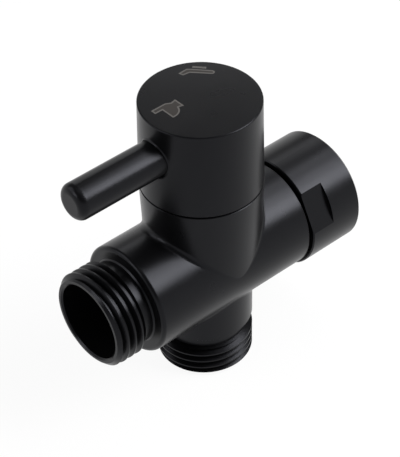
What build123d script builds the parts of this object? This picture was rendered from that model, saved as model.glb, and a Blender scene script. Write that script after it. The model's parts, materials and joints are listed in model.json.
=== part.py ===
"""Two-way bidet diverter valve: cast body, swivel inlet nut, lever handle and ceramic disc cartridge.

Millimetres. The stem axis is Z, the run axis is parallel to X with the inlet nut at +X,
and the origin is the centre of the lower outlet's end face.
"""
import os
from math import degrees

from build123d import *

os.makedirs("parts", exist_ok=True)

LOW = (Align.CENTER, Align.CENTER, Align.MIN)
OUTWARD = (Align.MIN, Align.CENTER, Align.MIN)
TO_BACK = (0, 90, 0)
TO_FRONT = (0, -90, 0)

# G1/2 pipe thread
pitch = 25.4 / 14
crest_r = 20.955 / 2
thread_depth = 0.6403 * pitch
root_r = crest_r - thread_depth
crest_flat = pitch / 6
thread_chamfer = 1.05

# Clearances
running = 0.05
drop_in = 0.1
apart = 0.3
film = 0.02

# How far cuts run past a face, joined solids run into each other and thread turns overlap
overrun = 1.0
groove_overrun = 0.2
turn_overrun = 0.01 * pitch

# Outside of the casting
axis_z = 26.3
run_step = 1.64
run_r = crest_r + run_step
run_front = -21.3
run_back = 19.7
shoulder_round = 0.9
barrel_step = 0.73
barrel_draft = 0.85
barrel_top_r = run_r + barrel_step
barrel_base_r = barrel_top_r - barrel_draft
barrel_h = 20.55
barrel_round = 1.3
neck_r = crest_r
neck_round = 1.2
neck_break = 0.4
edge_break = 0.25
seam_break = 0.1

# Threaded outlets
outlet_wall = 0.85
outlet_bore_r = root_r - outlet_wall
bore_break = 0.35
bore_mouth_r = outlet_bore_r + bore_break
front_len = 9.8
lower_len = 10.3
relief_len = 1.3 * pitch
relief_r = root_r - drop_in
relief_root = 0.3
lead_in = 0.6
lower_thread_turn = -90

# Swivel inlet
nut_gap = 0.6
nut_len = 13.9
nut_step = 0.61
nut_r = run_r + nut_step
nut_break = 0.5
lip_t = 2.4
washer_len = 2.0
washer_r = root_r - apart
ring_t = 1.0
ring_cover = 0.85
ring_depth = 0.75
ring_slack = 0.4
ring_gap = 2.0
spigot_r = washer_r - ring_cover
spigot_wall = 2.15
spigot_bore_r = spigot_r - spigot_wall
spigot_tip = 0.9
nut_bore_r = crest_r + running
undercut = 0.25
undercut_r = nut_bore_r + undercut
flat_len = 5.8
flat_depth = 0.9
flat_turn = 62.3
mouth = 0.7

# Cartridge
gland_wall = 2.1
gland_r = barrel_top_r - gland_wall
gland_corner_r = gland_r - apart
gland_head = 4.0
chamber_step = 0.75
chamber_r = gland_r - chamber_step
skirt_r = chamber_r - drop_in
skirt_wall = 1.6
skirt_bore_r = skirt_r - skirt_wall
seat_rise = 6.6
seal_t = 0.8
disc_t = 2.6
disc_r = skirt_bore_r - drop_in
moving_disc_r = disc_r - drop_in
tab_w = 3.0
tab_reach = 0.7
pocket_depth = 1.2
flange_t = 1.8
flange_step = 0.6
flange_r = disc_r - flange_step
dog_size = 2.0
dog_depth = 0.9
dog_circle_r = flange_r - 0.65 * dog_size
lug_w = 3.2
rib_w = 2.4
stop_slack = 2.0
quarter_turn = 90
thrust_t = 0.5
roof_t = 1.8
stem_r = 4.0
stem_bore_r = stem_r + running
collar_wall = 2.0
collar_r = stem_r + collar_wall
collar_proud = 0.8
groove_depth = 1.1
groove_r = stem_r - groove_depth
groove_w = 1.6
stem_seal = stem_bore_r - film - groove_r
housing_seal = 1.0
housing_groove_w = 1.2 * housing_seal
clip_t = 0.6
clip_depth = 0.7
clip_reach = 1.2
clip_gap = 4.2
clip_in_r = stem_r - clip_depth
clip_out_r = stem_r + clip_reach
head_side = 5.6
head_len = 8.0

# Passages
port_r = 2.0
port_land = 0.6
port_x = disc_r - port_r - port_land
passage_r = 3.3
web = 1.4
step_wall = 2.0

# Handle
cap_inset = 0.05
cap_r = barrel_top_r - cap_inset
cap_draft = 0.32
cap_h = 19.75
cap_wall = 1.9
cap_round = 0.3
head_gap = 1.4
lever_rise = 11.55
lever_r = 3.95
lever_reach = 20.3
lever_seat = 1.6
lever_round = 1.7
lever_blend = 0.6
stud_r = 2.5
stud_in = 5.4
stud_out = 6.4
grub_r = 2.0
grub_len = 6.0
hex_flats = 2.0
hex_depth = 2.5

# Levels along the stem axis
barrel_top = axis_z + barrel_h
cap_z = barrel_top + apart
seat_z = axis_z + seat_rise
fixed_z = seat_z + seal_t
moving_z = fixed_z + disc_t + film
flange_z = moving_z + disc_t
thrust_z = flange_z + flange_t
roof_z = thrust_z + thrust_t + running
gland_z = roof_z + roof_t
gland_top = barrel_top + gland_head
collar_top = gland_top + collar_proud
clip_z = collar_top + drop_in
head_z = clip_z + clip_t
ceiling_z = collar_top + head_gap
lever_z = cap_z + lever_rise
lower_ring_z = gland_z + groove_w
upper_ring_z = gland_top - groove_w
housing_ring_z = flange_z - housing_seal / 2

# Places along the run axis
front_x = run_front - front_len
nut_x = run_back + nut_gap
ring_x = nut_x + lip_t + ring_slack
spigot_x = ring_x + ring_t + spigot_tip
washer_x = spigot_x + washer_len
nut_end = nut_x + nut_len
inner_x = port_r + web
lever_x = lever_seat - cap_r
lever_end = -cap_r - lever_reach

RUN = Axis((0, 0, axis_z), (1, 0, 0))


def section(points):
    """Closed face through (radius, height) points, to be turned about the stem axis."""
    with BuildSketch(Plane.XZ) as face:
        with BuildLine():
            Polyline(*points, close=True)
        make_face()
    return face.sketch


def run_section(points):
    """Closed face through (x, radius) points, to be turned about the run axis."""
    return section([(x, axis_z + r) for x, r in points])


def corners(a_low, a_high, b_low, b_high):
    """The four corners of a rectangle."""
    return [(a_low, b_low), (a_high, b_low), (a_high, b_high), (a_low, b_high)]


def squeezed_ring(inner_r, thickness, level):
    """O-ring about the stem axis, its section flattened against the walls that hold it."""
    with BuildPart() as ring:
        with BuildSketch(Plane.XZ):
            with Locations((inner_r + thickness / 2, level)):
                RegularPolygon(thickness / 2, 8, major_radius=False, rotation=22.5)
        revolve(axis=Axis.Z)
    return ring.part


def thread_turn(start, height):
    """One turn of the helical thread groove, from start upwards."""
    half_root = crest_flat / 2
    reach = thread_depth + groove_overrun
    half_top = half_root + (pitch / 2 - crest_flat) * reach / thread_depth
    with BuildPart() as cut:
        with BuildLine() as path:
            Helix(pitch, height, root_r, center=(0, 0, start))
        with BuildSketch(Plane(path.line @ 0, x_dir=(1, 0, 0), z_dir=path.line % 0)) as tooth:
            with BuildLine():
                Polyline((0, -half_root), (reach, -half_top), (reach, half_top), (0, half_root), close=True)
            make_face()
        sweep(tooth.sketch, path=path.line, is_frenet=True)
    return cut.part


def outlet(length):
    """Male outlet with its end face at the origin and its relief towards +Z."""
    tail = length - relief_len
    last = tail + lead_in
    root_edge = relief_r + relief_root
    with BuildPart() as male:
        revolve(
            section([
                (0, 0), (crest_r - thread_chamfer, 0), (crest_r, thread_chamfer), (crest_r, tail - lead_in),
                (relief_r, tail), (relief_r, length - relief_root), (root_edge, length),
                (root_edge, length + overrun), (0, length + overrun),
            ]),
            axis=Axis.Z,
        )
        start = -pitch
        while start < last:
            add(thread_turn(start, min(pitch + turn_overrun, last - start)), mode=Mode.SUBTRACT)
            start += pitch
    return male.part


with BuildPart() as valve_body:
    # Run, barrel with its draft, and lower neck
    with Locations((run_front, 0, axis_z)):
        Cylinder(run_r, run_back - run_front, rotation=TO_BACK, align=LOW)
    ends = valve_body.edges().filter_by(GeomType.CIRCLE).sort_by(Axis.X)
    fillet(ends[0], shoulder_round)
    chamfer(ends[-1], edge_break)
    with Locations((0, 0, axis_z)):
        Cone(barrel_base_r, barrel_top_r, barrel_h, align=LOW)
    with Locations((0, 0, lower_len)):
        Cylinder(neck_r, axis_z - lower_len, align=LOW)
    joins = valve_body.edges().filter_by(lambda e: e.geom_type not in (GeomType.CIRCLE, GeomType.LINE))
    fillet(joins.filter_by(lambda e: e.center().Z > axis_z), barrel_round)
    fillet(joins.filter_by(lambda e: e.center().Z < axis_z), neck_round)
    rims = valve_body.edges().filter_by(GeomType.CIRCLE).sort_by(Axis.Z)
    chamfer(rims[0], neck_break)
    chamfer(rims[-1], seam_break)
    # Spigot for the swivel nut, with the ring groove
    revolve(
        run_section([
            (run_back - overrun, 0), (run_back - overrun, spigot_r), (ring_x, spigot_r),
            (ring_x, spigot_r - ring_depth), (ring_x + ring_t, spigot_r - ring_depth),
            (ring_x + ring_t, spigot_r), (spigot_x, spigot_r), (spigot_x, 0),
        ]),
        axis=RUN,
    )
    # Threaded outlets
    add(outlet(lower_len).moved(Location((0, 0, 0), (0, 0, lower_thread_turn))))
    add(outlet(front_len).moved(Location(Plane((front_x, 0, axis_z), x_dir=(0, 0, -1), z_dir=(1, 0, 0)))))
    # Front, inlet and lower passages, with a port from each to the cartridge seat
    with Locations((front_x, 0, axis_z)):
        bore_len = -front_x - chamber_r - step_wall
        Cylinder(outlet_bore_r, bore_len, rotation=TO_BACK, align=LOW, mode=Mode.SUBTRACT)
        Cylinder(passage_r, -front_x - inner_x, rotation=TO_BACK, align=LOW, mode=Mode.SUBTRACT)
        Cone(bore_mouth_r, outlet_bore_r, bore_break, rotation=TO_BACK, align=LOW, mode=Mode.SUBTRACT)
    with Locations((spigot_x, 0, axis_z)):
        Cylinder(passage_r, spigot_x - inner_x, rotation=TO_FRONT, align=LOW, mode=Mode.SUBTRACT)
        bore_len = spigot_x - run_back + step_wall
        Cylinder(spigot_bore_r, bore_len, rotation=TO_FRONT, align=LOW, mode=Mode.SUBTRACT)
    Cylinder(outlet_bore_r, axis_z - run_r - step_wall, align=LOW, mode=Mode.SUBTRACT)
    Cone(bore_mouth_r, outlet_bore_r, bore_break, align=LOW, mode=Mode.SUBTRACT)
    Cylinder(port_r, seat_z, align=LOW, mode=Mode.SUBTRACT)
    with Locations((port_x, 0, axis_z), (-port_x, 0, axis_z)):
        Cylinder(port_r, seat_rise, align=LOW, mode=Mode.SUBTRACT)
    # Cartridge chamber and gland bore
    with Locations((0, 0, seat_z)):
        Cylinder(chamber_r, barrel_top - seat_z, align=LOW, mode=Mode.SUBTRACT)
    with Locations((0, 0, gland_z)):
        Cylinder(gland_r, barrel_top - gland_z, align=LOW, mode=Mode.SUBTRACT)
valve_body.part.label = "valve_body"
export_step(valve_body.part, "parts/valve_body.step")

with BuildPart() as swivel_nut:
    lip_r = spigot_r + running
    revolve(
        run_section([
            (nut_x, lip_r), (nut_x, nut_r - edge_break), (nut_x + edge_break, nut_r),
            (nut_end - nut_break, nut_r), (nut_end, nut_r - nut_break), (nut_end, nut_bore_r + mouth),
            (nut_end - mouth, nut_bore_r), (washer_x, nut_bore_r), (washer_x, undercut_r),
            (nut_x + lip_t, undercut_r), (nut_x + lip_t, lip_r),
        ]),
        axis=RUN,
    )
    # Two wrench flats beside the lip
    for side in (flat_turn, flat_turn + 180):
        with Locations(Location((nut_x, 0, axis_z), (side, 0, 0))):
            with Locations((0, 0, nut_r - flat_depth)):
                Box(flat_len, 2 * nut_r, flat_depth + overrun, align=OUTWARD, mode=Mode.SUBTRACT)
swivel_nut.part.label = "swivel_nut"
export_step(swivel_nut.part, "parts/swivel_nut.step")

with BuildPart() as split_ring:
    revolve(run_section(corners(ring_x, ring_x + ring_t, spigot_r - ring_depth, washer_r)), axis=RUN)
    with Locations((ring_x, 0, axis_z - spigot_r)):
        Box(4 * ring_t, ring_gap, 2 * (ring_cover + ring_depth), mode=Mode.SUBTRACT)
split_ring.part.label = "split_ring"
export_step(split_ring.part, "parts/split_ring.step")

with BuildPart() as inlet_washer:
    revolve(run_section(corners(spigot_x, washer_x, spigot_bore_r, washer_r)), axis=RUN)
inlet_washer.part.label = "inlet_washer"
export_step(inlet_washer.part, "parts/inlet_washer.step")

with BuildPart() as seat_seal:
    with Locations((0, 0, seat_z)):
        Cylinder(disc_r, seal_t, align=LOW)
    with Locations((0, 0, seat_z), (port_x, 0, seat_z), (-port_x, 0, seat_z)):
        Cylinder(port_r, seal_t, align=LOW, mode=Mode.SUBTRACT)
seat_seal.part.label = "seat_seal"
export_step(seat_seal.part, "parts/seat_seal.step")

with BuildPart() as fixed_disc:
    with Locations((0, 0, fixed_z)):
        Cylinder(disc_r, disc_t, align=LOW)
        Box(tab_w, 2 * (skirt_bore_r + tab_reach), disc_t, align=LOW)
    with Locations((0, 0, fixed_z), (port_x, 0, fixed_z), (-port_x, 0, fixed_z)):
        Cylinder(port_r, disc_t, align=LOW, mode=Mode.SUBTRACT)
fixed_disc.part.label = "fixed_disc"
export_step(fixed_disc.part, "parts/fixed_disc.step")

with BuildPart() as moving_disc:
    with Locations((0, 0, moving_z)):
        Cylinder(moving_disc_r, disc_t, align=LOW)
    # Channel from the inlet port to the front port, and slot from the middle port outwards
    with BuildSketch(Plane.XY.offset(moving_z)):
        SlotArc(CenterArc((0, 0), port_x, 0, 180, mode=Mode.PRIVATE), 2 * port_r)
        with Locations((0, -port_x / 2)):
            SlotCenterToCenter(port_x, 2 * port_r, rotation=90)
    extrude(amount=pocket_depth, mode=Mode.SUBTRACT)
    # Sockets for the stem's two dogs
    with Locations((0, 0, flange_z - dog_depth - drop_in)):
        with PolarLocations(dog_circle_r, 2, -135, 90, rotate=False, endpoint=True):
            socket = dog_size + 2 * drop_in
            Box(socket, socket, dog_depth + overrun, align=LOW, mode=Mode.SUBTRACT)
moving_disc.part.label = "moving_disc"
export_step(moving_disc.part, "parts/moving_disc.step")

with BuildPart() as stem:
    revolve(
        section([
            (0, flange_z), (flange_r, flange_z), (flange_r, thrust_z), (stem_r, thrust_z), (stem_r, clip_z),
            (clip_in_r, clip_z), (clip_in_r, head_z), (stem_r, head_z), (stem_r, ceiling_z), (0, ceiling_z),
        ]),
        axis=Axis.Z,
    )
    # O-ring grooves
    with Locations((0, 0, lower_ring_z), (0, 0, upper_ring_z)):
        Cylinder(stem_r + overrun, groove_w, mode=Mode.SUBTRACT)
        Cylinder(groove_r, groove_w)
    # Square head for the cap
    with Locations((0, 0, ceiling_z)):
        Box(head_side, head_side, head_len, align=LOW)
    # Dogs that turn the moving disc, and the lug between the stops
    with Locations((0, 0, flange_z - dog_depth)):
        with PolarLocations(dog_circle_r, 2, -135, 90, rotate=False, endpoint=True):
            Box(dog_size, dog_size, dog_depth, align=LOW)
    with Locations((0, 0, flange_z)):
        Box(skirt_bore_r - apart, lug_w, flange_t, align=OUTWARD)
stem.part.label = "stem"
export_step(stem.part, "parts/stem.step")

with BuildPart() as stem_oring_lower:
    add(squeezed_ring(groove_r, stem_seal, lower_ring_z))
stem_oring_lower.part.label = "stem_oring_lower"
export_step(stem_oring_lower.part, "parts/stem_oring_lower.step")

with BuildPart() as stem_oring_upper:
    add(squeezed_ring(groove_r, stem_seal, upper_ring_z))
stem_oring_upper.part.label = "stem_oring_upper"
export_step(stem_oring_upper.part, "parts/stem_oring_upper.step")

with BuildPart() as thrust_washer:
    revolve(section(corners(stem_r + drop_in, flange_r, thrust_z, thrust_z + thrust_t)), axis=Axis.Z)
thrust_washer.part.label = "thrust_washer"
export_step(thrust_washer.part, "parts/thrust_washer.step")

with BuildPart() as stem_clip:
    revolve(section(corners(clip_in_r, clip_out_r, clip_z, head_z)), axis=Axis.Z)
    with Locations((0, -clip_out_r, clip_z)):
        Box(clip_gap, 2 * clip_out_r, 4 * clip_t, mode=Mode.SUBTRACT)
stem_clip.part.label = "stem_clip"
export_step(stem_clip.part, "parts/stem_clip.step")

with BuildPart() as cartridge_housing:
    revolve(
        section([
            (stem_bore_r, roof_z), (skirt_bore_r, roof_z), (skirt_bore_r, seat_z), (skirt_r, seat_z),
            (skirt_r, gland_z), (collar_r, gland_z), (collar_r, collar_top), (stem_bore_r, collar_top),
        ]),
        axis=Axis.Z,
    )
    # O-ring groove round the skirt
    with Locations((0, 0, housing_ring_z)):
        Cylinder(chamber_r + overrun, housing_groove_w, mode=Mode.SUBTRACT)
        Cylinder(chamber_r - housing_seal, housing_groove_w)
        Cylinder(skirt_bore_r, housing_groove_w, mode=Mode.SUBTRACT)
    # Slots that hold the fixed disc
    with Locations((0, 0, seat_z)):
        slot_len = 2 * (skirt_bore_r + tab_reach + drop_in)
        Box(tab_w + 2 * drop_in, slot_len, moving_z - seat_z, align=LOW, mode=Mode.SUBTRACT)
    # Stops for the stem's lug, a quarter turn apart
    stop_turn = degrees((lug_w + rib_w) / 2 / flange_r) + stop_slack
    for turn in (-stop_turn, quarter_turn + stop_turn):
        with Locations(Location((0, 0, 0), (0, 0, turn))):
            with Locations((flange_r + drop_in, 0, flange_z + drop_in)):
                Box(skirt_bore_r - flange_r, rib_w, roof_z - flange_z, align=OUTWARD)
cartridge_housing.part.label = "cartridge_housing"
export_step(cartridge_housing.part, "parts/cartridge_housing.step")

with BuildPart() as housing_oring:
    add(squeezed_ring(chamber_r - housing_seal, housing_seal, housing_ring_z))
housing_oring.part.label = "housing_oring"
export_step(housing_oring.part, "parts/housing_oring.step")

with BuildPart() as gland_nut:
    with Locations((0, 0, gland_z)):
        Cylinder(gland_r - running, barrel_top - gland_z, align=LOW)
    with BuildSketch(Plane.XY.offset(barrel_top)):
        RegularPolygon(gland_corner_r, 6)
    extrude(amount=gland_head)
    with Locations((0, 0, gland_z)):
        Cylinder(collar_r + drop_in, gland_top - gland_z, align=LOW, mode=Mode.SUBTRACT)
gland_nut.part.label = "gland_nut"
export_step(gland_nut.part, "parts/gland_nut.step")

with BuildPart() as handle_cap:
    with Locations((0, 0, cap_z)):
        Cone(cap_r, cap_r - cap_draft, cap_h, align=LOW)
    rims = handle_cap.edges().filter_by(GeomType.CIRCLE).sort_by(Axis.Z)
    chamfer(rims[0], seam_break)
    fillet(rims[-1], cap_round)
    # Blend round the lever's root
    with Locations((0, 0, lever_z)):
        Cylinder(lever_r, cap_r + overrun, rotation=TO_FRONT, align=LOW)
    joins = handle_cap.edges().filter_by(lambda e: e.geom_type not in (GeomType.CIRCLE, GeomType.LINE))
    fillet(joins, lever_blend)
    # Hollow over the gland nut, and the square socket of the stem
    with Locations((0, 0, cap_z)):
        Cylinder(cap_r - cap_wall, ceiling_z - cap_z, align=LOW, mode=Mode.SUBTRACT)
    with Locations((0, 0, ceiling_z)):
        Box(head_side, head_side, head_len + apart, align=LOW, mode=Mode.SUBTRACT)
    # Seat and stud hole of the lever, and the set screw's hole opposite
    with Locations((lever_x, 0, lever_z)):
        Cylinder(lever_r + drop_in, cap_r, rotation=TO_FRONT, align=LOW, mode=Mode.SUBTRACT)
        Cylinder(stud_r, stud_in, rotation=TO_BACK, align=LOW, mode=Mode.SUBTRACT)
    with Locations((0, 0, lever_z)):
        Cylinder(grub_r, cap_r + overrun, rotation=TO_BACK, align=LOW, mode=Mode.SUBTRACT)
handle_cap.part.label = "handle_cap"
export_step(handle_cap.part, "parts/handle_cap.step")

with BuildPart() as lever:
    with Locations((lever_x, 0, lever_z)):
        Cylinder(lever_r, lever_x - lever_end, rotation=TO_FRONT, align=LOW)
    fillet(lever.edges().filter_by(GeomType.CIRCLE).sort_by(Axis.X)[0], lever_round)
    with Locations((lever_x, 0, lever_z)):
        Cylinder(stud_r, stud_out, rotation=TO_FRONT, align=LOW, mode=Mode.SUBTRACT)
lever.part.label = "lever"
export_step(lever.part, "parts/lever.step")

with BuildPart() as lever_stud:
    with Locations((lever_x - stud_out, 0, lever_z)):
        Cylinder(stud_r, stud_out + stud_in, rotation=TO_BACK, align=LOW)
    chamfer(lever_stud.edges().filter_by(GeomType.CIRCLE), edge_break)
lever_stud.part.label = "lever_stud"
export_step(lever_stud.part, "parts/lever_stud.step")

with BuildPart() as grub_screw:
    with Locations((head_side / 2, 0, lever_z)):
        Cylinder(grub_r, grub_len, rotation=TO_BACK, align=LOW)
    chamfer(grub_screw.edges().filter_by(GeomType.CIRCLE), edge_break)
    with BuildSketch(Plane((head_side / 2 + grub_len, 0, lever_z), z_dir=(1, 0, 0))):
        RegularPolygon(hex_flats / 2, 6, major_radius=False)
    extrude(amount=-hex_depth, mode=Mode.SUBTRACT)
grub_screw.part.label = "grub_screw"
export_step(grub_screw.part, "parts/grub_screw.step")
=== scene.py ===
"""Looks of the bidet diverter valve: its coating, the parts inside, etched signs, nut thread and studio."""
import json
import math

import bmesh
import bpy
from mathutils import Matrix, Quaternion, Vector


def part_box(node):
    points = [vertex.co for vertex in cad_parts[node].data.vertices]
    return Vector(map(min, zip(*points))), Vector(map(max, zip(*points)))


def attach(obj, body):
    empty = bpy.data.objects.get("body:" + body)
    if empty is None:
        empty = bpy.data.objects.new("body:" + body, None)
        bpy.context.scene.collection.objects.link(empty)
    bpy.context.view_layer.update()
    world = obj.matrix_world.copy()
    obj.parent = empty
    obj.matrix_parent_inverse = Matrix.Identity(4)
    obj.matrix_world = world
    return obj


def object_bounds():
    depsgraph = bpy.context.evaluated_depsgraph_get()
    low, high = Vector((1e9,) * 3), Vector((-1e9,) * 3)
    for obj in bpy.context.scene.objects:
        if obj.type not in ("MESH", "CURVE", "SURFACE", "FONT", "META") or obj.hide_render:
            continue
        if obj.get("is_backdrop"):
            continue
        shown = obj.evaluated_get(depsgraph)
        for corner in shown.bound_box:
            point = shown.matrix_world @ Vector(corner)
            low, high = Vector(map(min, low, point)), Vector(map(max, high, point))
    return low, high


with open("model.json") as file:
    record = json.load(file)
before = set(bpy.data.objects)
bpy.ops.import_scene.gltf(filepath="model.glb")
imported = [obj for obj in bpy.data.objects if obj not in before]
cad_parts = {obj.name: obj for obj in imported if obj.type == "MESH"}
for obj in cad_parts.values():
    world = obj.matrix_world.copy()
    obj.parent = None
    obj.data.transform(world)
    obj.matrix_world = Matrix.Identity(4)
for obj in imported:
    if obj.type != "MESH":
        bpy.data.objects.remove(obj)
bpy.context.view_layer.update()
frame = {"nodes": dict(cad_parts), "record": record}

MM = 0.001

# Camera in the part's frame; angles in degrees, the azimuth counted from +X
EYE_MM = Vector((-182.51, -210.70, 277.72))
EYE_AZIMUTH = -130.80
EYE_ELEVATION = 41.26
EYE_ROLL = -1.12
LENS_MM = 140.40
CLIP_START = 0.01

# Paper floor: its side in metres, and the share of plain white in what is seen of it
FLOOR_SIDE = 4.0
FLOOR_GLOW = 0.92

# White sweep round the horizon, which fades into a dim room between two heights of the sight line
SWEEP_LOW = 0.1
SWEEP_HIGH = 0.36
ROOM_LEVEL = 0.12

# Lamps: azimuth from +X and elevation in degrees; distance, width and height in metres; watts
SOFTBOXES = {
    "key_softbox": (-44, 41, 0.6, 0.38, 0.33, 2.9),
    "key_core": (-50, 35, 0.6, 0.22, 0.22, 1.05),
    "top_strip": (-22, 59, 0.6, 0.44, 0.16, 1.0),
    "right_card": (20, 53, 0.6, 0.36, 0.18, 0.18),
    "left_panel": (168, 28, 0.6, 0.24, 0.16, 0.7),
    "rear_softbox": (132, 34, 0.6, 0.34, 0.34, 0.7),
    "overhead_softbox": (-130, 88, 0.6, 0.40, 0.40, 0.25),
    "back_card": (50, 35, 0.16, 0.13, 0.04, 0.035)}

# Thread of the swivel nut, G1/2: 14 turns to the inch, its depth and crest as shares of the pitch
PITCH_MM = 25.4 / 14
THREAD_DEPTH_MM = 0.6403 * PITCH_MM
THREAD_CREST_MM = PITCH_MM / 6
THREAD_STEPS = 72

# Etched signs on the cap: where they lie, how far they are turned, and their make
TOILET_PLACE_MM = (-6.7, 1.3)
TOILET_TURN = 90
SPRAY_PLACE_MM = (5.5, 7.4)
SPRAY_TURN = -49
# Width of the brighter edge band on the signs, which is a painted highlight of their etched edges
SIGN_HIGHLIGHT_WIDTH_MM = 0.32
SIGN_RAISE_MM = 0.012
ARC_STEPS = 10

# How far added pieces reach into the solid that carries them
SINK_MM = 0.05

# Phase that a wave texture runs through in one unit of length
WAVE_RADIANS = 20


def linear(code):
    """Linear RGBA of an sRGB hex code such as "1a1b1c"."""
    channels = [int(code[i:i + 2], 16) / 255 for i in (0, 2, 4)]
    return [c / 12.92 if c <= 0.04045 else ((c + 0.055) / 1.055) ** 2.4 for c in channels] + [1.0]


def per_mm(size):
    """Texture scale for features of a size in millimetres."""
    return 1 / (size * MM)


def waves_per_mm(size):
    """Wave texture scale for lines a size in millimetres apart."""
    return per_mm(size) * math.tau / WAVE_RADIANS


def direction(azimuth, elevation):
    """Unit vector of a direction in degrees, with the azimuth counted from +X."""
    turn = math.radians(azimuth)
    rise = math.radians(elevation)
    return Vector((math.cos(turn) * math.cos(rise), math.sin(turn) * math.cos(rise), math.sin(rise)))


def add_node(tree, kind, inputs=None, **settings):
    """Adds a node, sets its properties, and sets or links its inputs."""
    made = tree.nodes.new(kind)
    for name, value in settings.items():
        setattr(made, name, value)
    for name, value in (inputs or {}).items():
        if isinstance(value, bpy.types.NodeSocket):
            tree.links.new(value, made.inputs[name])
        else:
            made.inputs[name].default_value = value
    return made


def start_material(name):
    """An empty node material, its tree and its output node."""
    material = bpy.data.materials.new(name)
    material.use_nodes = True
    tree = material.node_tree
    tree.nodes.clear()
    return material, tree, add_node(tree, "ShaderNodeOutputMaterial")


def satin_black_coating():
    """Baked black coating on cast brass: a satin film, very dark, with the faint ripple of a sprayed coat."""
    material, tree, output = start_material("satin_black_coating")
    place = add_node(tree, "ShaderNodeTexCoord").outputs["Object"]
    ripple = add_node(tree, "ShaderNodeTexNoise", {"Vector": place, "Scale": per_mm(1.2), "Detail": 3.0})
    patches = add_node(tree, "ShaderNodeTexNoise", {"Vector": place, "Scale": per_mm(9.0), "Detail": 3.0})
    roughness = add_node(tree, "ShaderNodeMapRange", {
        "Value": patches.outputs["Fac"], "To Min": 0.24, "To Max": 0.34})
    relief = add_node(tree, "ShaderNodeBump", {
        "Height": ripple.outputs["Fac"], "Strength": 0.3, "Distance": 0.006 * MM})
    shader = add_node(tree, "ShaderNodeBsdfPrincipled", {
        "Base Color": linear("09090a"), "Specular IOR Level": 0.168, "Specular Tint": linear("eceefa"),
        "Roughness": roughness.outputs["Result"], "Normal": relief.outputs["Normal"]})
    tree.links.new(shader.outputs["BSDF"], output.inputs["Surface"])
    return material


def etched_mark(name, code, roughness):
    """Laser-etched coating: the beam leaves a matt grey, finely hatched ground."""
    material, tree, output = start_material(name)
    place = add_node(tree, "ShaderNodeTexCoord").outputs["Object"]
    # The beam's hatch is about 0.05 mm; drawn at 0.3 mm so that it shows
    hatch = add_node(tree, "ShaderNodeTexWave", {
        "Vector": place, "Scale": waves_per_mm(0.3), "Distortion": 0.4}, bands_direction="DIAGONAL")
    relief = add_node(tree, "ShaderNodeBump", {
        "Height": hatch.outputs["Fac"], "Strength": 0.2, "Distance": 0.01 * MM})
    shader = add_node(tree, "ShaderNodeBsdfPrincipled", {
        "Base Color": linear(code), "Specular IOR Level": 0.15, "Roughness": roughness,
        "Normal": relief.outputs["Normal"]})
    tree.links.new(shader.outputs["BSDF"], output.inputs["Surface"])
    return material


def turned_brass():
    """Free-cutting brass from the lathe: warm metal with fine turning rings round its axis."""
    material, tree, output = start_material("turned_brass")
    place = add_node(tree, "ShaderNodeTexCoord").outputs["Object"]
    # The tool's feed is about 0.1 mm a turn; drawn at 0.4 mm so that it shows
    rings = add_node(tree, "ShaderNodeTexWave", {
        "Vector": place, "Scale": waves_per_mm(0.4), "Distortion": 0.5},
        wave_type="RINGS", rings_direction="Z")
    roughness = add_node(tree, "ShaderNodeMapRange", {
        "Value": rings.outputs["Fac"], "To Min": 0.22, "To Max": 0.36})
    shader = add_node(tree, "ShaderNodeBsdfPrincipled", {
        "Base Color": linear("c9a35a"), "Metallic": 1.0, "Roughness": roughness.outputs["Result"]})
    tree.links.new(shader.outputs["BSDF"], output.inputs["Surface"])
    return material


def stainless_steel():
    """Plain stainless steel, drawn and cut: grey metal with slightly uneven gloss."""
    material, tree, output = start_material("stainless_steel")
    place = add_node(tree, "ShaderNodeTexCoord").outputs["Object"]
    drawn = add_node(tree, "ShaderNodeTexNoise", {"Vector": place, "Scale": per_mm(0.5), "Detail": 3.0})
    roughness = add_node(tree, "ShaderNodeMapRange", {
        "Value": drawn.outputs["Fac"], "To Min": 0.28, "To Max": 0.42})
    shader = add_node(tree, "ShaderNodeBsdfPrincipled", {
        "Base Color": linear("b9babb"), "Metallic": 1.0, "Roughness": roughness.outputs["Result"]})
    tree.links.new(shader.outputs["BSDF"], output.inputs["Surface"])
    return material


def moulded_rubber():
    """Moulded nitrile rubber: dull black with a fine moulded grain."""
    material, tree, output = start_material("moulded_rubber")
    place = add_node(tree, "ShaderNodeTexCoord").outputs["Object"]
    grain = add_node(tree, "ShaderNodeTexNoise", {"Vector": place, "Scale": per_mm(0.25), "Detail": 4.0})
    relief = add_node(tree, "ShaderNodeBump", {
        "Height": grain.outputs["Fac"], "Strength": 0.4, "Distance": 0.02 * MM})
    shader = add_node(tree, "ShaderNodeBsdfPrincipled", {
        "Base Color": linear("161617"), "Roughness": 0.65, "Normal": relief.outputs["Normal"]})
    tree.links.new(shader.outputs["BSDF"], output.inputs["Surface"])
    return material


def lapped_alumina():
    """Lapped alumina ceramic: off-white and hard, polished almost to a mirror."""
    material, tree, output = start_material("lapped_alumina")
    place = add_node(tree, "ShaderNodeTexCoord").outputs["Object"]
    lapping = add_node(tree, "ShaderNodeTexNoise", {"Vector": place, "Scale": per_mm(1.5), "Detail": 4.0})
    roughness = add_node(tree, "ShaderNodeMapRange", {
        "Value": lapping.outputs["Fac"], "To Min": 0.1, "To Max": 0.2})
    shader = add_node(tree, "ShaderNodeBsdfPrincipled", {
        "Base Color": linear("efece4"), "IOR": 1.76, "Roughness": roughness.outputs["Result"]})
    tree.links.new(shader.outputs["BSDF"], output.inputs["Surface"])
    return material


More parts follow.
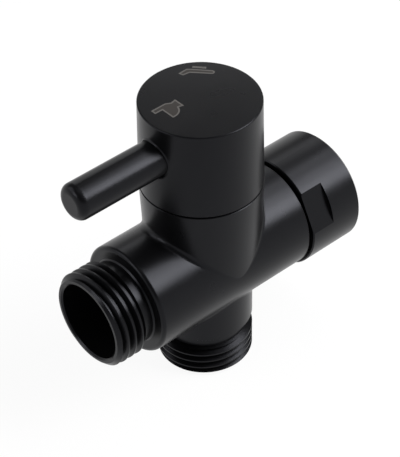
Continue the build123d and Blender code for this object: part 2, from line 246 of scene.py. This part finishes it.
def moulded_acetal():
    """Moulded natural acetal: milky white plastic with a soft mould texture."""
    material, tree, output = start_material("moulded_acetal")
    place = add_node(tree, "ShaderNodeTexCoord").outputs["Object"]
    texture = add_node(tree, "ShaderNodeTexNoise", {"Vector": place, "Scale": per_mm(0.6), "Detail": 2.0})
    relief = add_node(tree, "ShaderNodeBump", {
        "Height": texture.outputs["Fac"], "Strength": 0.2, "Distance": 0.01 * MM})
    shader = add_node(tree, "ShaderNodeBsdfPrincipled", {
        "Base Color": linear("e6e4de"), "IOR": 1.48, "Roughness": 0.45, "Normal": relief.outputs["Normal"]})
    tree.links.new(shader.outputs["BSDF"], output.inputs["Surface"])
    return material


def white_paper():
    """Matt white paper, evenly lit: plain white, a little darker in the valve's shade."""
    material, tree, output = start_material("white_paper")
    ray = add_node(tree, "ShaderNodeLightPath").outputs
    seen = add_node(tree, "ShaderNodeMath", {0: ray["Is Camera Ray"], 1: ray["Is Glossy Ray"]})
    shown = add_node(tree, "ShaderNodeMath", {0: seen.outputs["Value"], 1: ray["Is Transmission Ray"]})
    share = add_node(tree, "ShaderNodeMath", {
        0: shown.outputs["Value"], 1: FLOOR_GLOW}, operation="MULTIPLY")
    paper = add_node(tree, "ShaderNodeBsdfDiffuse", {"Color": linear("f2f2f2")})
    glow = add_node(tree, "ShaderNodeEmission", {"Strength": 1.0})
    mix = add_node(tree, "ShaderNodeMixShader", {
        0: share.outputs["Value"], 1: paper.outputs["BSDF"], 2: glow.outputs["Emission"]})
    tree.links.new(mix.outputs["Shader"], output.inputs["Surface"])
    return material


def studio_world():
    """White sweep round the horizon that goes over into a dim plain room."""
    world = bpy.data.worlds.new("studio_room")
    world.use_nodes = True
    tree = world.node_tree
    tree.nodes.clear()
    ray = add_node(tree, "ShaderNodeTexCoord").outputs["Generated"]
    height = add_node(tree, "ShaderNodeSeparateXYZ", {"Vector": ray}).outputs["Z"]
    level = add_node(tree, "ShaderNodeMapRange", {
        "Value": height, "From Min": SWEEP_LOW, "From Max": SWEEP_HIGH,
        "To Min": 1.0, "To Max": ROOM_LEVEL}, interpolation_type="SMOOTHSTEP")
    room = add_node(tree, "ShaderNodeBackground", {
        "Color": linear("ffffff"), "Strength": level.outputs["Result"]})
    output = add_node(tree, "ShaderNodeOutputWorld")
    tree.links.new(room.outputs["Background"], output.inputs["Surface"])
    bpy.context.scene.world = world


def dress_nodes():
    """Gives every CAD node the material of its record slot."""
    finishes = {
        "black_paint": satin_black_coating(), "brass": turned_brass(), "steel": stainless_steel(),
        "rubber": moulded_rubber(), "ceramic": lapped_alumina(), "plastic": moulded_acetal()}
    for part in frame["record"]["subparts"]:
        mesh = frame["nodes"][part["node"]].data
        mesh.materials.clear()
        mesh.materials.append(finishes[part["material_slot"]])
    return finishes


def new_piece(name, mesh, body, materials):
    """A new piece of the object that rides on a body and takes the materials it is given."""
    piece = bpy.data.objects.new(name, mesh)
    bpy.context.scene.collection.objects.link(piece)
    for material in materials:
        mesh.materials.append(material)
    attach(piece, body)


def arc(centre, radius, start, end):
    """Points of an arc between two angles in degrees."""
    turns = [math.radians(start + (end - start) * i / ARC_STEPS) for i in range(ARC_STEPS + 1)]
    return [(centre[0] + radius * math.cos(t), centre[1] + radius * math.sin(t)) for t in turns]


def etched_sign(name, outlines, centre, turn, field, painted_edge_highlight):
    """Flat sign on the cap's top: each closed outline is a grey field with a brighter edge band, a painted
    highlight for the light that the etched edges catch.
    """
    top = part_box("handle_cap")[1][2]
    mesh = bpy.data.meshes.new(name)
    shape = bmesh.new()
    for outline in outlines:
        face = shape.faces.new([shape.verts.new((x * MM, y * MM, 0)) for x, y in outline])
        face.normal_update()
        edges = bmesh.ops.inset_region(
            shape, faces=[face], thickness=SIGN_HIGHLIGHT_WIDTH_MM * MM, use_even_offset=True, use_boundary=True)
        # The inset edge faces take the second material, the lighter painted highlight
        for edge_face in edges["faces"]:
            edge_face.material_index = 1
    raised = bmesh.ops.extrude_face_region(shape, geom=shape.faces[:])
    moved = [v for v in raised["geom"] if isinstance(v, bmesh.types.BMVert)]
    bmesh.ops.translate(shape, verts=moved, vec=(0, 0, (SIGN_RAISE_MM + SINK_MM) * MM))
    bmesh.ops.recalc_face_normals(shape, faces=shape.faces[:])
    seat = Matrix.Translation((centre[0] * MM, centre[1] * MM, top - SINK_MM * MM))
    spin = Matrix.Rotation(math.radians(turn), 4, "Z")
    bmesh.ops.transform(shape, matrix=seat @ spin, verts=shape.verts[:])
    shape.to_mesh(mesh)
    shape.free()
    new_piece(name, mesh, "handle", [field, painted_edge_highlight])


def etched_signs():
    """Two plain function signs: a toilet for the one outlet and a hand spray for the other."""
    field = etched_mark("etched_field", "302d2b", 0.5)
    # The lighter edge colour is a painted highlight on the signs' etched edges
    painted_edge_highlight = etched_mark("etched_painted_highlight", "545250", 0.45)
    bowl = arc((0.2, 0.5), 2.5, 180, 262)
    toilet = [(0.9, 2.9), (2.2, 2.9), (2.2, -0.7), (1.6, -1.7), (1.9, -3.0), (-0.8, -3.0), (-0.5, -1.95)]
    toilet += bowl[::-1][1:] + [(-2.3, 1.1), (0.9, 1.1)]
    etched_sign("sign_toilet", [toilet], TOILET_PLACE_MM, TOILET_TURN, field, painted_edge_highlight)
    grip = arc((3.2, 0.0), 0.6, -90, 90)
    spray = grip + [(-0.8, 0.65), (-2.0, 0.5), (-3.4, -1.2), (-2.4, -1.75), (-1.2, -0.7)]
    trigger = [(-0.9, 1.0), (1.9, 1.0), (1.9, 1.6), (-0.9, 1.6)]
    etched_sign("sign_hand_spray", [spray, trigger], SPRAY_PLACE_MM, SPRAY_TURN, field, painted_edge_highlight)


def nut_thread(coating):
    """Female thread of the swivel nut: one helical ridge inside its bore."""
    mount = next(m for m in frame["record"]["mounts"] if m["name"] == "inlet_thread")
    bore_r = mount["dims"]["r_mm"]
    length = mount["dims"]["length_mm"]
    middle = Vector(mount["pos_m"])
    foot = (PITCH_MM - THREAD_CREST_MM) / 2
    crest = THREAD_CREST_MM / 2
    foot_r = bore_r + SINK_MM
    crest_r = bore_r - THREAD_DEPTH_MM
    profile = [(-foot, foot_r), (-crest, crest_r), (crest, crest_r), (foot, foot_r)]
    steps = round(THREAD_STEPS * (length - 2 * foot) / PITCH_MM)
    mesh = bpy.data.meshes.new("nut_thread")
    shape = bmesh.new()
    rows = []
    for i in range(steps + 1):
        turn = math.tau * i / THREAD_STEPS
        along = PITCH_MM * i / THREAD_STEPS - length / 2 + foot
        rows.append([
            shape.verts.new(middle + Vector((along + x, r * math.cos(turn), -r * math.sin(turn))) * MM)
            for x, r in profile])
    for low, high in zip(rows, rows[1:]):
        for a in range(len(profile)):
            b = (a + 1) % len(profile)
            shape.faces.new((low[a], low[b], high[b], high[a]))
    shape.faces.new(rows[0])
    shape.faces.new(rows[-1])
    bmesh.ops.recalc_face_normals(shape, faces=shape.faces[:])
    shape.to_mesh(mesh)
    shape.free()
    new_piece("nut_thread", mesh, "nut", [coating])


def place_camera():
    """Camera at the photograph's viewing angle."""
    data = bpy.data.cameras.new("camera")
    data.lens = LENS_MM
    data.clip_start = CLIP_START
    camera = bpy.data.objects.new("camera", data)
    camera.location = EYE_MM * MM
    camera.rotation_mode = "QUATERNION"
    forward = -direction(EYE_AZIMUTH, EYE_ELEVATION)
    roll = Quaternion((0, 0, 1), math.radians(EYE_ROLL))
    camera.rotation_quaternion = forward.to_track_quat("-Z", "Y") @ roll
    bpy.context.scene.collection.objects.link(camera)
    bpy.context.scene.camera = camera


def softbox(name, azimuth, elevation, distance, width, height, watts):
    """Studio lamp that faces the valve's middle."""
    lo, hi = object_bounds()
    target = (lo + hi) / 2
    away = direction(azimuth, elevation)
    data = bpy.data.lights.new(name, "AREA")
    data.shape = "RECTANGLE"
    data.size = width
    data.size_y = height
    data.energy = watts
    lamp = bpy.data.objects.new(name, data)
    lamp.location = target + away * distance
    lamp.rotation_mode = "QUATERNION"
    lamp.rotation_quaternion = (-away).to_track_quat("-Z", "Y")
    bpy.context.scene.collection.objects.link(lamp)


def paper_floor():
    """Wide sheet of paper under the valve."""
    half = FLOOR_SIDE / 2
    corners = [(-half, -half, 0), (half, -half, 0), (half, half, 0), (-half, half, 0)]
    mesh = bpy.data.meshes.new("floor")
    mesh.from_pydata(corners, [], [(0, 1, 2, 3)])
    mesh.materials.append(white_paper())
    floor = bpy.data.objects.new("floor", mesh)
    bpy.context.scene.collection.objects.link(floor)
    floor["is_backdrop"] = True


finishes = dress_nodes()
etched_signs()
nut_thread(finishes["black_paint"])
place_camera()
paper_floor()
studio_world()
for name, setting in SOFTBOXES.items():
    softbox(name, *setting)
bpy.context.scene.view_settings.view_transform = "Standard"
